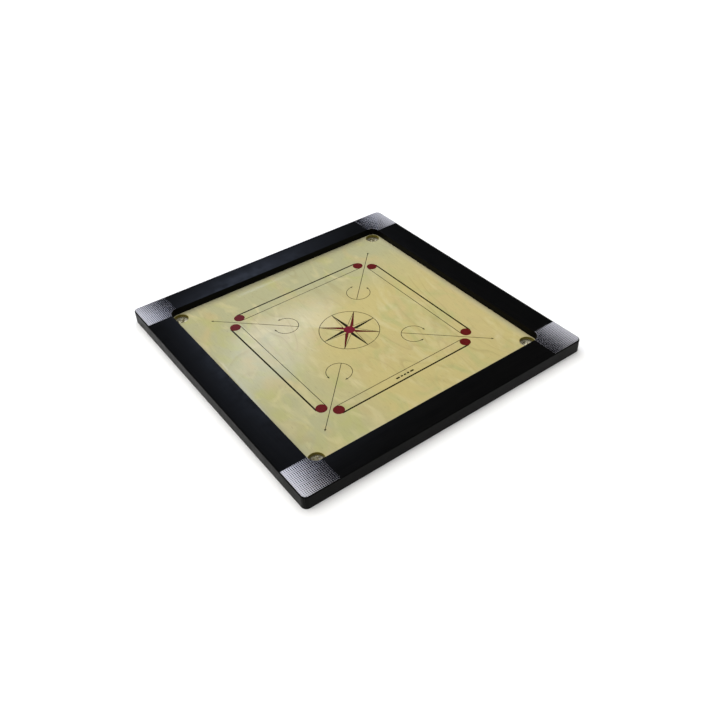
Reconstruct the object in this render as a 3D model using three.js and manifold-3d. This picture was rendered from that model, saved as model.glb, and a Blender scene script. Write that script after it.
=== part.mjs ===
// Carrom board: a square table-top board game played with a striker and discs.
// Four mitred rails carry a plywood playing sheet in a rebate. Rounded blocks fill the inner
// corners around four pockets, each with a cotton net hung under the sheet by a clamp ring.
// Battens and screwed strips stiffen the underside.
//
// Units are millimetres and +Z is up. The origin is the middle of the frame's underside,
// so the board stands on z = 0. The rails lie along X and Y.

import * as THREE from "three";
import { mergeVertices } from "three/addons/utils/BufferGeometryUtils.js";
import Module from "manifold-3d";

const wasm = await Module();
wasm.setup();

// ---------------------------------------------------------------- driving dimensions

const PLAY_SIDE = 740; // square playing area between the rails
const RAIL_WIDTH = 76;
const RAIL_HEIGHT = 38;
const SHEET_TOP = 17; // height of the playing surface, 21 below the rails' tops
const SHEET_THICKNESS = 8;

const OUTER_CORNER_RADIUS = 15;
const OUTER_ARRIS_RADIUS = 3; // rounding along the rails' upper outer edge
const INNER_CHAMFER = 1; // chamfer along the rails' upper inner edge
const MITRE_GAP = 0.3; // glue line between two mitred ends

const REBATE_WIDTH = 12; // ledge over the edge of the playing sheet
const SHEET_CLEARANCE = 0.5; // between the sheet's edge and the rebate's wall
const SHEET_CORNER_RADIUS = 1;

const INNER_CORNER_RADIUS = 24; // rounded inner corner, concentric with its pocket
const POCKET_RADIUS = 21;

const PATCH_THICKNESS = 0.5;
const PATCH_MARGIN = 3; // from the frame's outer edge
const PATCH_INSET = 1.2; // back from the inner edges, past their chamfer
const PATCH_SIDE = 97;
const PATCH_CORNER_RADIUS = 12;

const STRIP_WIDTH = 20;
const STRIP_LENGTH = 620;
const STRIP_BOTTOM = 1; // stands clear of the table
const STRIP_SCREW_STATIONS = [-230, 0, 230];

const BATTEN_WIDTH = 38;
const BATTEN_BOTTOM = 1.5;
const BATTEN_OFFSET = 123; // each pair of battens divides the underside in three
const FIT_GAP = 0.3; // clearance of parts that fit beside each other

const SCREW_HEAD_RADIUS = 3.5;
const SCREW_HEAD_EDGE = 0.4; // straight rim above the countersunk cone
const SCREW_SHANK_RADIUS = 1.75;
const SCREW_LENGTH = 30;
const SCREW_POINT_LENGTH = 4;
const SCREW_CLEARANCE = 0.2;
const CROSS_HALF_LENGTH = 2; // cross recess in the screw's head
const CROSS_HALF_WIDTH = 0.45;
const CROSS_DEPTH = 1.3;

const RING_OUTER_RADIUS = 30.3;
const RING_INNER_RADIUS = 23.8;
const RING_THICKNESS = 2.4;
const TACK_ANGLES = [45, 165, 285]; // degrees around each ring
const TACK_CIRCLE_RADIUS = 27.1;
const TACK_HEAD_RADIUS = 2.2;
const TACK_HEAD_HEIGHT = 0.8;
const TACK_SHANK_RADIUS = 0.7;
const TACK_LENGTH = 8;
const TACK_POINT_LENGTH = 2;
const TACK_HOLE_DEPTH = 6;

const NET_RIM_RADIUS = 23.4;
const NET_MOUTH_RADIUS = 22.2;
const NET_FLOOR_RADIUS = 17.4;
const NET_WALL = 1.2;
const NET_BOTTOM = 0.8;
const NET_BEND_RADIUS = 20.7; // between the net's floor and its side
const NET_BEND_HEIGHT = 3;

const SPLINE_LENGTH = 60; // along the mitre
const SPLINE_WIDTH = 24; // across the mitre, half in each rail
const SPLINE_THICKNESS = 4;
const SPLINE_HEIGHT = 19; // middle of the rail
const SPLINE_FROM_EDGE = 34; // spline's middle, from either outer face

const BLOCK_WALL_GAP = 0.1; // glue line between a corner block and the rails
const BLOCK_THIN_END = 0.6;

// ---------------------------------------------------------------- derived dimensions

const PLAY_HALF = PLAY_SIDE / 2;
const OUTER_SIDE = PLAY_SIDE + 2 * RAIL_WIDTH;
const OUTER_HALF = OUTER_SIDE / 2;
const REBATE_HALF = PLAY_HALF + REBATE_WIDTH;
const SHEET_HALF = REBATE_HALF - SHEET_CLEARANCE;
const SHEET_BOTTOM = SHEET_TOP - SHEET_THICKNESS;
const POCKET_OFFSET = PLAY_HALF - INNER_CORNER_RADIUS;
const STRIP_OUTER = REBATE_HALF - FIT_GAP;
const STRIP_INNER = STRIP_OUTER - STRIP_WIDTH;
const STRIP_SCREW_LINE = PLAY_HALF + REBATE_WIDTH / 2;
const BATTEN_HALF_LENGTH = STRIP_INNER - FIT_GAP;
const LAP_HEIGHT = (SHEET_BOTTOM + BATTEN_BOTTOM) / 2;
const SPLINE_OFFSET = OUTER_HALF - SPLINE_FROM_EDGE;

const QUARTER_TURN = Math.PI / 2;
const OVERSIZE = 10; // how far a cutting tool runs past the piece it cuts
const ARC_SEGMENTS = 10;
const POCKET_SEGMENTS = 32;
const HOLE_SEGMENTS = 12;
const NET_SEGMENTS = 24;
const WELD_DISTANCE = 1e-4;

const SIDES = ["south", "east", "north", "west"];
const CORNERS = ["north_east", "north_west", "south_west", "south_east"];

// ---------------------------------------------------------------- materials

function paint(color, roughness, metalness = 0) {
  return new THREE.MeshStandardMaterial({ color, roughness, metalness });
}

const FINISHES = {
  frame: () => paint(0x101114, 0.35),
  sheet: () => paint(0xd0c794, 0.25),
  patch: () => paint(0xa9abb2, 0.3, 0.9),
  net: () => paint(0xe6dfc4, 0.95),
  ring: () => paint(0xb58f5c, 0.6),
  batten: () => paint(0xc59a62, 0.7),
  spline: () => paint(0xcaa672, 0.7),
  steel: () => paint(0xb9b9b6, 0.35, 1),
};

// ---------------------------------------------------------------- solid helpers

function solidOf(geometry) {
  const bare = geometry.clone();
  bare.deleteAttribute("normal");
  bare.deleteAttribute("uv");
  const merged = mergeVertices(bare, WELD_DISTANCE);
  const mesh = new wasm.Mesh({
    numProp: 3,
    vertProperties: merged.attributes.position.array,
    triVerts: new Uint32Array(merged.index.array),
  });
  return new wasm.Manifold(mesh);
}

function geometryOf(solid) {
  const mesh = solid.getMesh();
  const geometry = new THREE.BufferGeometry();
  geometry.setAttribute("position", new THREE.BufferAttribute(mesh.vertProperties, 3));
  geometry.setIndex(new THREE.BufferAttribute(mesh.triVerts, 1));
  const faceted = geometry.toNonIndexed();
  faceted.computeVertexNormals();
  return faceted;
}

function cut(geometry, ...tools) {
  const start = solidOf(geometry);
  return geometryOf(tools.reduce((solid, tool) => solid.subtract(solidOf(tool)), start));
}

function common(geometry, tool) {
  return geometryOf(solidOf(geometry).intersect(solidOf(tool)));
}

// Straight prism of a flat outline between two heights.
function prism(shape, bottom, top, curveSegments = ARC_SEGMENTS) {
  const options = { depth: top - bottom, bevelEnabled: false, curveSegments };
  return new THREE.ExtrudeGeometry(shape, options).translate(0, 0, bottom);
}

// Box from its low and high corners.
function box(low, high) {
  const size = high.map((value, axis) => value - low[axis]);
  const middle = high.map((value, axis) => (value + low[axis]) / 2);
  return new THREE.BoxGeometry(...size).translate(...middle);
}

// Upright cylinder on the axis through (x, y).
function post(x, y, radius, bottom, top, segments = HOLE_SEGMENTS) {
  const cylinder = new THREE.CylinderGeometry(radius, radius, top - bottom, segments);
  return cylinder.rotateX(QUARTER_TURN).translate(x, y, (bottom + top) / 2);
}

// Solid of revolution about Z; the profile lists [radius, height] from the lowest point up.
function turned(profile, segments) {
  const points = profile.map(([radius, height]) => new THREE.Vector2(radius, height));
  return new THREE.LatheGeometry(points, segments).rotateX(QUARTER_TURN);
}

function squareOutline(side, radius) {
  const half = side / 2;
  const inner = half - radius;
  const shape = new THREE.Shape();
  shape.moveTo(half, -inner);
  shape.lineTo(half, inner);
  shape.absarc(inner, inner, radius, 0, QUARTER_TURN);
  shape.lineTo(-inner, half);
  shape.absarc(-inner, inner, radius, QUARTER_TURN, 2 * QUARTER_TURN);
  shape.lineTo(-half, -inner);
  shape.absarc(-inner, -inner, radius, 2 * QUARTER_TURN, 3 * QUARTER_TURN);
  shape.lineTo(inner, -half);
  shape.absarc(inner, -inner, radius, 3 * QUARTER_TURN, 4 * QUARTER_TURN);
  return shape;
}

function squareBlock(half, bottom, top) {
  return box([-half, -half, bottom], [half, half, top]);
}

// Tool that chamfers the upper edge of the rounded opening.
function openingChamferTool() {
  const outline = squareOutline(PLAY_SIDE, INNER_CORNER_RADIUS);
  const options = {
    depth: OVERSIZE,
    bevelThickness: INNER_CHAMFER,
    bevelSize: INNER_CHAMFER,
    bevelSegments: 1,
    curveSegments: ARC_SEGMENTS,
  };
  return new THREE.ExtrudeGeometry(outline, options).translate(0, 0, RAIL_HEIGHT);
}

// ---------------------------------------------------------------- screws and tacks

function screwGeometry() {
  const coneHeight = SCREW_HEAD_RADIUS - SCREW_SHANK_RADIUS;
  const body = turned(
    [
      [0, 0],
      [SCREW_HEAD_RADIUS, 0],
      [SCREW_HEAD_RADIUS, SCREW_HEAD_EDGE],
      [SCREW_SHANK_RADIUS, SCREW_HEAD_EDGE + coneHeight],
      [SCREW_SHANK_RADIUS, SCREW_LENGTH - SCREW_POINT_LENGTH],
      [0, SCREW_LENGTH],
    ],
    HOLE_SEGMENTS,
  );
  const long = CROSS_HALF_LENGTH;
  const narrow = CROSS_HALF_WIDTH;
  return cut(
    body,
    box([-long, -narrow, -OVERSIZE], [long, narrow, CROSS_DEPTH]),
    box([-narrow, -long, -OVERSIZE], [narrow, long, CROSS_DEPTH]),
  );
}

// Countersunk passage that a screw goes through, with the head's seat at the bottom.
function screwPassage(x, y) {
  const headRadius = SCREW_HEAD_RADIUS + SCREW_CLEARANCE;
  const shankRadius = SCREW_SHANK_RADIUS + SCREW_CLEARANCE;
  const seatHeight = STRIP_BOTTOM + SCREW_HEAD_EDGE + SCREW_CLEARANCE;
  const top = STRIP_BOTTOM + SCREW_LENGTH + 1;
  const passage = turned(
    [
      [0, 0],
      [headRadius, 0],
      [headRadius, seatHeight],
      [shankRadius, seatHeight + headRadius - shankRadius],
      [shankRadius, top],
      [0, top],
    ],
    HOLE_SEGMENTS,
  );
  return passage.translate(x, y, 0);
}

function tackGeometry() {
  return turned(
    [
      [0, 0],
      [TACK_HEAD_RADIUS, 0],
      [TACK_HEAD_RADIUS, TACK_HEAD_HEIGHT / 2],
      [TACK_SHANK_RADIUS, TACK_HEAD_HEIGHT],
      [TACK_SHANK_RADIUS, TACK_LENGTH - TACK_POINT_LENGTH],
      [0, TACK_LENGTH],
    ],
    HOLE_SEGMENTS,
  );
}

// Middle of each tack of the north-east pocket.
function tackPlaces() {
  return TACK_ANGLES.map((degrees) => {
    const angle = THREE.MathUtils.degToRad(degrees);
    return [
      POCKET_OFFSET + TACK_CIRCLE_RADIUS * Math.cos(angle),
      POCKET_OFFSET + TACK_CIRCLE_RADIUS * Math.sin(angle),
    ];
  });
}

// ---------------------------------------------------------------- frame

// The whole frame in one piece, before it is divided into rails at the mitres.
function frameRing() {
  const outline = squareOutline(OUTER_SIDE, OUTER_CORNER_RADIUS);
  const options = {
    depth: RAIL_HEIGHT,
    bevelThickness: OUTER_ARRIS_RADIUS,
    bevelSize: OUTER_ARRIS_RADIUS,
    bevelOffset: -OUTER_ARRIS_RADIUS,
    bevelSegments: 4,
    curveSegments: ARC_SEGMENTS,
  };
  const blank = new THREE.ExtrudeGeometry(outline, options);
  blank.translate(0, 0, -OUTER_ARRIS_RADIUS);
  return cut(
    blank,
    squareBlock(OUTER_HALF + OVERSIZE, -2 * OVERSIZE, 0),
    squareBlock(PLAY_HALF, 0, RAIL_HEIGHT + OVERSIZE),
    squareBlock(REBATE_HALF, -OVERSIZE, SHEET_TOP),
    openingChamferTool(),
  );
}

function splineSlot(x) {
  const play = FIT_GAP;
  const slot = new THREE.BoxGeometry(
    SPLINE_LENGTH + play,
    SPLINE_WIDTH + play,
    SPLINE_THICKNESS + play,
  );
  return slot.rotateZ(-Math.sign(x) * Math.PI / 4).translate(x, -SPLINE_OFFSET, SPLINE_HEIGHT);
}

// The rail along the south side, with 45 degree mitred ends.
function railGeometry() {
  const setBack = MITRE_GAP / Math.SQRT2;
  const reach = OUTER_HALF + OVERSIZE;
  const wedge = new THREE.Shape();
  wedge.moveTo(0, -setBack);
  wedge.lineTo(-reach, -reach - setBack);
  wedge.lineTo(reach, -reach - setBack);
  const blank = common(frameRing(), prism(wedge, -OVERSIZE, RAIL_HEIGHT + OVERSIZE));
  const passages = STRIP_SCREW_STATIONS.map((x) => screwPassage(x, -STRIP_SCREW_LINE));
  return cut(blank, splineSlot(SPLINE_OFFSET), splineSlot(-SPLINE_OFFSET), ...passages);
}

// ---------------------------------------------------------------- playing sheet and its supports

function sheetGeometry() {
  const outline = squareOutline(2 * SHEET_HALF, SHEET_CORNER_RADIUS);
  for (const x of [-POCKET_OFFSET, POCKET_OFFSET]) {
    for (const y of [-POCKET_OFFSET, POCKET_OFFSET]) {
      const pocket = new THREE.Path().absarc(x, y, POCKET_RADIUS, 0, 2 * Math.PI, true);
      outline.holes.push(pocket);
    }
  }
  const sheet = prism(outline, SHEET_BOTTOM, SHEET_TOP, POCKET_SEGMENTS / 2);
  const passages = [];
  for (const station of STRIP_SCREW_STATIONS) {
    passages.push(screwPassage(station, -STRIP_SCREW_LINE));
    passages.push(screwPassage(station, STRIP_SCREW_LINE));
    passages.push(screwPassage(-STRIP_SCREW_LINE, station));
    passages.push(screwPassage(STRIP_SCREW_LINE, station));
  }
  const tackRadius = TACK_SHANK_RADIUS + SCREW_CLEARANCE;
  for (const [x, y] of tackPlaces()) {
    const hole = post(x, y, tackRadius, SHEET_BOTTOM - 1, SHEET_BOTTOM + TACK_HOLE_DEPTH);
    for (let turn = 0; turn < 4; turn += 1) {
      passages.push(hole.clone().rotateZ(turn * QUARTER_TURN));
    }
  }
  return cut(sheet, ...passages);
}

// The strip along the south side that clamps the sheet up into the rebate.
function stripGeometry() {
  const half = STRIP_LENGTH / 2;
  const strip = box([-half, -STRIP_OUTER, STRIP_BOTTOM], [half, -STRIP_INNER, SHEET_BOTTOM]);
  return cut(strip, ...STRIP_SCREW_STATIONS.map((x) => screwPassage(x, -STRIP_SCREW_LINE)));
}

// A batten along X, halved where two others cross it, either on its lower or its upper side.
function battenGeometry(halvedBelow) {
  const half = BATTEN_WIDTH / 2;
  const notchHalf = half + FIT_GAP;
  const bottom = halvedBelow ? BATTEN_BOTTOM - 1 : LAP_HEIGHT;
  const top = halvedBelow ? LAP_HEIGHT : SHEET_BOTTOM + 1;
  const notches = [-BATTEN_OFFSET, BATTEN_OFFSET].map((x) =>
    box([x - notchHalf, -OVERSIZE - half, bottom], [x + notchHalf, half + OVERSIZE, top]),
  );
  const low = [-BATTEN_HALF_LENGTH, -half, BATTEN_BOTTOM];
  const high = [BATTEN_HALF_LENGTH, half, SHEET_BOTTOM];
  return cut(box(low, high), ...notches);
}

// ---------------------------------------------------------------- corner pieces, drawn at the north-east

// Glued block that rounds the opening's inner corner above the sheet.
function cornerBlockGeometry() {
  const wall = PLAY_HALF - BLOCK_WALL_GAP;
  const startAngle = Math.acos((wall - BLOCK_THIN_END - POCKET_OFFSET) / INNER_CORNER_RADIUS);
  const end = POCKET_OFFSET + INNER_CORNER_RADIUS * Math.sin(startAngle);
  const outline = new THREE.Shape();
  outline.moveTo(wall, end);
  outline.lineTo(wall, wall);
  outline.lineTo(end, wall);
  outline.absarc(
    POCKET_OFFSET,
    POCKET_OFFSET,
    INNER_CORNER_RADIUS,
    QUARTER_TURN - startAngle,
    startAngle,
    true,
  );
  return cut(prism(outline, SHEET_TOP, RAIL_HEIGHT), openingChamferTool());
}

// Metal-faced laminate patch over the corner of the frame, cut back around the pocket.
function patchGeometry() {
  const high = OUTER_HALF - PATCH_MARGIN;
  const low = high - PATCH_SIDE;
  const wall = PLAY_HALF + PATCH_INSET;
  const outline = new THREE.Shape();
  outline.moveTo(high, low);
  outline.lineTo(high, high - PATCH_CORNER_RADIUS);
  outline.absarc(
    high - PATCH_CORNER_RADIUS,
    high - PATCH_CORNER_RADIUS,
    PATCH_CORNER_RADIUS,
    0,
    QUARTER_TURN,
  );
  outline.lineTo(low, high);
  outline.lineTo(low, wall);
  outline.absarc(
    POCKET_OFFSET,
    POCKET_OFFSET,
    INNER_CORNER_RADIUS + PATCH_INSET,
    QUARTER_TURN,
    0,
    true,
  );
  outline.lineTo(wall, low);
  return prism(outline, RAIL_HEIGHT, RAIL_HEIGHT + PATCH_THICKNESS);
}

// Plain bowl in the outer shape of the cotton net, open at the top.
function netGeometry() {
  const rimBottom = SHEET_BOTTOM - NET_WALL;
  return turned(
    [
      [0, NET_BOTTOM],
      [NET_FLOOR_RADIUS, NET_BOTTOM],
      [NET_BEND_RADIUS, NET_BEND_HEIGHT],
      [NET_MOUTH_RADIUS, rimBottom],
      [NET_RIM_RADIUS, rimBottom],
      [NET_RIM_RADIUS, SHEET_BOTTOM],
      [NET_MOUTH_RADIUS - NET_WALL, SHEET_BOTTOM],
      [NET_BEND_RADIUS - NET_WALL, NET_BEND_HEIGHT + NET_WALL],
      [NET_FLOOR_RADIUS - NET_WALL, NET_BOTTOM + NET_WALL],
      [0, NET_BOTTOM + NET_WALL],
    ],
    NET_SEGMENTS,
  );
}

// Ring that clamps the net's hem against the underside of the sheet.
function ringGeometry() {
  const outline = new THREE.Shape();
  outline.absarc(POCKET_OFFSET, POCKET_OFFSET, RING_OUTER_RADIUS, 0, 2 * Math.PI);
  const hole = new THREE.Path();
  hole.absarc(POCKET_OFFSET, POCKET_OFFSET, RING_INNER_RADIUS, 0, 2 * Math.PI, true);
  outline.holes.push(hole);
  const bottom = SHEET_BOTTOM - RING_THICKNESS;
  const tackRadius = TACK_SHANK_RADIUS + SCREW_CLEARANCE;
  const holes = tackPlaces().map(([x, y]) => post(x, y, tackRadius, bottom - 1, SHEET_TOP));
  return cut(prism(outline, bottom, SHEET_BOTTOM, POCKET_SEGMENTS / 2), ...holes);
}

// ---------------------------------------------------------------- assembly

function piece(name, geometry, finish) {
  const mesh = new THREE.Mesh(geometry, FINISHES[finish]());
  mesh.name = name;
  return mesh;
}

// Frame rail, clamping strip and screws of one side, drawn at the south.
function sideAssembly(side, shapes) {
  const assembly = new THREE.Group();
  assembly.add(piece(`frame_rail_${side}`, shapes.rail, "frame"));
  assembly.add(piece(`sheet_strip_${side}`, shapes.strip, "batten"));
  STRIP_SCREW_STATIONS.forEach((x, index) => {
    const screw = piece(`strip_screw_${side}_${index + 1}`, shapes.screw, "steel");
    screw.position.set(x, -STRIP_SCREW_LINE, STRIP_BOTTOM);
    assembly.add(screw);
  });
  return assembly;
}

// Everything that belongs to one pocket and its corner, drawn at the north-east.
function cornerAssembly(corner, shapes) {
  const assembly = new THREE.Group();
  assembly.add(piece(`corner_block_${corner}`, shapes.block, "frame"));
  assembly.add(piece(`corner_patch_${corner}`, shapes.patch, "patch"));

  const spline = piece(`mitre_spline_${corner}`, shapes.spline, "spline");
  spline.position.set(SPLINE_OFFSET, SPLINE_OFFSET, SPLINE_HEIGHT);
  spline.rotation.z = Math.PI / 4;
  assembly.add(spline);

  const net = piece(`pocket_net_${corner}`, shapes.net, "net");
  net.position.set(POCKET_OFFSET, POCKET_OFFSET, 0);
  assembly.add(net);

  assembly.add(piece(`net_ring_${corner}`, shapes.ring, "ring"));
  tackPlaces().forEach(([x, y], index) => {
    const tack = piece(`net_tack_${corner}_${index + 1}`, shapes.tack, "steel");
    tack.position.set(x, y, SHEET_BOTTOM - RING_THICKNESS - TACK_HEAD_HEIGHT);
    assembly.add(tack);
  });
  return assembly;
}

const sideShapes = {
  rail: railGeometry(),
  strip: stripGeometry(),
  screw: screwGeometry(),
};

const cornerShapes = {
  block: cornerBlockGeometry(),
  patch: patchGeometry(),
  spline: new THREE.BoxGeometry(SPLINE_LENGTH, SPLINE_WIDTH, SPLINE_THICKNESS),
  net: netGeometry(),
  ring: ringGeometry(),
  tack: tackGeometry(),
};

const board = new THREE.Group();

SIDES.forEach((side, turn) => {
  const assembly = sideAssembly(side, sideShapes);
  assembly.rotation.z = turn * QUARTER_TURN;
  board.add(assembly);
});

CORNERS.forEach((corner, turn) => {
  const assembly = cornerAssembly(corner, cornerShapes);
  assembly.rotation.z = turn * QUARTER_TURN;
  board.add(assembly);
});

board.add(piece("playing_sheet", sheetGeometry(), "sheet"));

const longBatten = battenGeometry(true);
const crossBatten = battenGeometry(false);
for (const [word, offset] of [["south", -BATTEN_OFFSET], ["north", BATTEN_OFFSET]]) {
  const batten = piece(`batten_${word}`, longBatten, "batten");
  batten.position.y = offset;
  board.add(batten);
}
for (const [word, offset] of [["west", -BATTEN_OFFSET], ["east", BATTEN_OFFSET]]) {
  const batten = piece(`batten_${word}`, crossBatten, "batten");
  batten.position.x = offset;
  batten.rotation.z = QUARTER_TURN;
  board.add(batten);
}

export default board;
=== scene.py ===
"""Carrom board: black lacquered frame, printed birch playing sheet, foil corner patches, net pockets."""

import math

import bmesh
import bpy
from mathutils import Matrix, Vector, geometry, noise


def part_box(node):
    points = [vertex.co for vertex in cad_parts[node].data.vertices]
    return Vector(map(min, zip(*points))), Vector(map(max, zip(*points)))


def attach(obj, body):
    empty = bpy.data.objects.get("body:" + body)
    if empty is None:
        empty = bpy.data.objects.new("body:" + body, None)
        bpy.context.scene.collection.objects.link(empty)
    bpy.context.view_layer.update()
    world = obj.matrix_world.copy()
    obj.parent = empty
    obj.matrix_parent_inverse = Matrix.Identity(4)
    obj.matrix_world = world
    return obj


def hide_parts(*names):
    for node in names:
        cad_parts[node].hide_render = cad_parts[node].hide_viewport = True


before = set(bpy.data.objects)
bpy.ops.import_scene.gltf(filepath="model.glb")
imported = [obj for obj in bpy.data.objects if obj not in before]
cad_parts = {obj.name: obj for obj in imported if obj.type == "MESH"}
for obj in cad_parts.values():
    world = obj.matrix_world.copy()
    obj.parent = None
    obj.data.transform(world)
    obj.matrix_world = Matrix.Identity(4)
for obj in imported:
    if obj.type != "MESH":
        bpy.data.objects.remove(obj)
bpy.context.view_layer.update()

# -------- sizes, in metres

MM = 0.001
SIDES = ("south", "east", "north", "west")
CORNERS = {"north_east": (1, 1), "north_west": (-1, 1), "south_west": (-1, -1), "south_east": (1, -1)}

SHEET_LOW, SHEET_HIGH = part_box("playing_sheet")
SURFACE = SHEET_HIGH.z
UNDERSIDE = SHEET_LOW.z
RAIL_LOW, RAIL_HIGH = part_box("frame_rail_south")
OUTER_HALF = -RAIL_LOW.y
PLAY_HALF = -RAIL_HIGH.y
FRAME_TOP = RAIL_HIGH.z
REBATE_DEPTH = 12 * MM
BLOCK_LOW, BLOCK_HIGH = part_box("corner_block_north_east")
PATCH_LOW, PATCH_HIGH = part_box("corner_patch_north_east")
NET_LOW, NET_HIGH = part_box("pocket_net_north_east")
RING_LOW, RING_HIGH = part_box("net_ring_north_east")
POCKET = (NET_LOW.x + NET_HIGH.x) / 2
POCKET_RADIUS = 21 * MM
CORNER_RADIUS = 24 * MM
OUTER_RADIUS = 15 * MM

GRAIN_DEPTH = 0.2 * MM
MITRE_GAP = 0.1 * MM
RING_WIDTH = 6.5 * MM

PATCH_INSET = 1.2 * MM
PATCH_CORNER_RADIUS = 12 * MM
PATCH_ARRIS = 0.12 * MM
CHECK_PITCH = 5.1 * MM
CHECK_RELIEF = 0.06 * MM
CHECK_MARGIN = 0.2 * MM
CHECK_LEAST, CHECK_MOST = 0.04, 0.94  # share of the foil that the squares cover, outside and inside
CHECK_CURVE = 1.75  # the squares grow fast at first and then more slowly

INK_HEIGHT = 0.1 * MM
PRINT_TURN = math.radians(0.42)  # the print lies slightly askew on the sheet
PRINT_SHIFT = (0.8 * MM, 0.2 * MM)
BASE_LINE = 258.2 * MM
BASE_LINE_WIDTH = 4.8 * MM
INNER_LINE = 228.8 * MM
INNER_LINE_WIDTH = 1.8 * MM
BASE_CIRCLE_RADIUS = 15.3 * MM
BASE_CIRCLE_ACROSS = (BASE_LINE + INNER_LINE) / 2
BASE_CIRCLE_ALONG = 212.4 * MM
CENTRE_RING_RADIUS = 85 * MM
CENTRE_DISC_RADIUS = 16 * MM
STAR_TIP_RADIUS = 84.4 * MM
STAR_WAIST_RADIUS = 20.8 * MM
STAR_HALF_STEP = 22.5  # degrees from a star point's middle to its waist
STAR_ROOT_RADIUS = CENTRE_DISC_RADIUS * 1.02
HAIRLINE = 1.7 * MM
STAR_OUTLINE = 1.6 * MM
STAR_FAR_OUTLINE = 1.28 * MM
ARROW_TIP = 283 * MM
ARROW_HEAD_LENGTH = 8.5 * MM
ARROW_HEAD_WIDTH = 6.8 * MM
ARROW_HEAD_OVERHANG = 6 * MM  # from the end of the broken circle to the head's tip
ARROW_NOTCH = 0.72  # share of the head's length from its tip to the notch in its back
SHAFT_CLEARANCE = 3 * MM  # the shaft stops inside its head
ARROW_ARC_CENTRE = 127.5 * MM
ARROW_ARC_RADIUS = 35 * MM

ORNAMENT_LENGTHS = (13 * MM, 8 * MM, 8 * MM, 8 * MM, 13 * MM)
ORNAMENT_GAP = 2.4 * MM
ORNAMENT_HALF_HEIGHT = 2.5 * MM

NET_STRANDS = 22
NET_ROWS = 7
TWINE_RADIUS = 0.85 * MM
RIM_CORD_RADIUS = TWINE_RADIUS * 1.05
MIDDLE_CORD_RADIUS = TWINE_RADIUS * 1.3
KNOT_RADIUS = TWINE_RADIUS * 1.6
CROSSING_LIFT = 0.7 * MM  # one family of twines passes over the other
NET_FOLD_SIZE = 6.5 * MM
NET_FOLD_DEPTH = 7 * MM
NET_DRIFT = 2.6 * MM  # how far a fold moves sideways
NET_DRIFT_SCALE = 0.6  # sideways moves are broader than the folds
NET_DRIFT_PLACES = (Vector((9.3, -1.5, -8.0)), Vector((-1.3, 4.7, 2.9)))
NET_SLACKENING = 2.2  # the folds reach full depth at 1 / this share of the way in
NET_SEED_STEP = 7.3  # makes the four nets differ
NET_PATH = (  # share of the way in, radius and height in millimetres
    (0.00, 20.7, 8.0),
    (0.10, 20.4, 5.6),
    (0.22, 18.9, 2.6),
    (0.38, 15.2, 2.5),
    (0.58, 10.6, 4.6),
    (0.80, 5.8, 5.2),
    (1.00, 2.4, 4.4),
)

SCREW_NODES = {side: [f"strip_screw_{side}_{k}" for k in (1, 2, 3)] for side in SIDES}
TACK_NODES = {corner: [f"net_tack_{corner}_{k}" for k in (1, 2, 3)] for corner in CORNERS}
FIT_PLAY = 0.2 * MM
HOLE_RUN_OUT = 1 * MM  # how far a cutting shape runs past the fastener
SCREW_HEAD_RADIUS = 3.5 * MM
SCREW_HEAD_EDGE = 0.35 * MM
SCREW_CREST_RADIUS = 1.75 * MM
TACK_SHANK_RADIUS = 0.65 * MM
SLOT_GROWTH = Matrix.Diagonal((1.006, 1.006, 1.08))  # a spline's slot against the spline

CAMERA_PLACE = (-0.9674, -1.4172, 1.3485)
CAMERA_TARGET = (-0.0546, -0.1240, 0.017)
CAMERA_ROLL = math.radians(-2.28)
CAMERA_LENS = 38.84
CAMERA_SENSOR = 36
CAMERA_REACH = 60
FLOOR_HALF = 14
WINDOW_PLACE = (0.84, 2.24, 1.80)
WINDOW_SIZE = (0.58, 0.90)
WINDOW_TARGET = (-0.19, 0.12, SURFACE)

SMOOTH_ANGLE = math.radians(32)
MERGE_DISTANCE = 1e-7

# -------- colours, linear

BIRCH_WARM = (0.455, 0.385, 0.164)
# cool, darker end of the sheet's drift: partly the veneer's own tone, partly painted reflection and painted
# dimming
BIRCH_COOL_AND_DIMMED = (0.362, 0.352, 0.200)
BIRCH_LINE = (0.26, 0.215, 0.09)
BIRCH_RIM = (0.395, 0.370, 0.250)
BIRCH_BLOTCHES = (  # colour, noise scale, detail, distortion, where it starts and ends, strength
    ((0.452, 0.366, 0.176), (9, 6, 9), 3, 0.8, 0.50, 0.70, 0.7),
    ((0.380, 0.370, 0.158), (13, 8, 11), 3, 1.2, 0.52, 0.70, 0.85),
    ((0.510, 0.450, 0.240), (17, 7, 15), 4, 1.5, 0.54, 0.74, 0.8),
)
PINE = ((0.56, 0.39, 0.20), (0.34, 0.19, 0.08))
RING_WOOD = ((0.50, 0.36, 0.20), (0.36, 0.23, 0.11))
INK_BLACK = ((0.0105, 0.0082, 0.0016), (0.0230, 0.0185, 0.0036))
INK_RED = ((0.074, 0.0045, 0.0040), (0.118, 0.0085, 0.0075))
INK_CRIMSON = ((0.112, 0.0050, 0.0130), (0.165, 0.0085, 0.0210))
CHECK_BLACK = ((0.006, 0.006, 0.008), (0.014, 0.014, 0.018))
TWINE_CLEAN = ((0.93, 0.91, 0.74), (0.86, 0.82, 0.58))
# dark olive of the twine's painted shade in the folds and under the rim, also used for its dark spots
TWINE_SHADE_AND_SPOTS = (0.115, 0.092, 0.020)
FLOOR_WHITE = ((0.93, 0.93, 0.93), (0.95, 0.95, 0.95))
SUNLIGHT = (1.0, 0.99, 0.97)
SKYLIGHT = (0.60, 0.71, 1.0)


# -------- mesh helpers


def add_object(name, data):
    thing = bpy.data.objects.new(name, data)
    bpy.context.scene.collection.objects.link(thing)
    return thing


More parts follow.
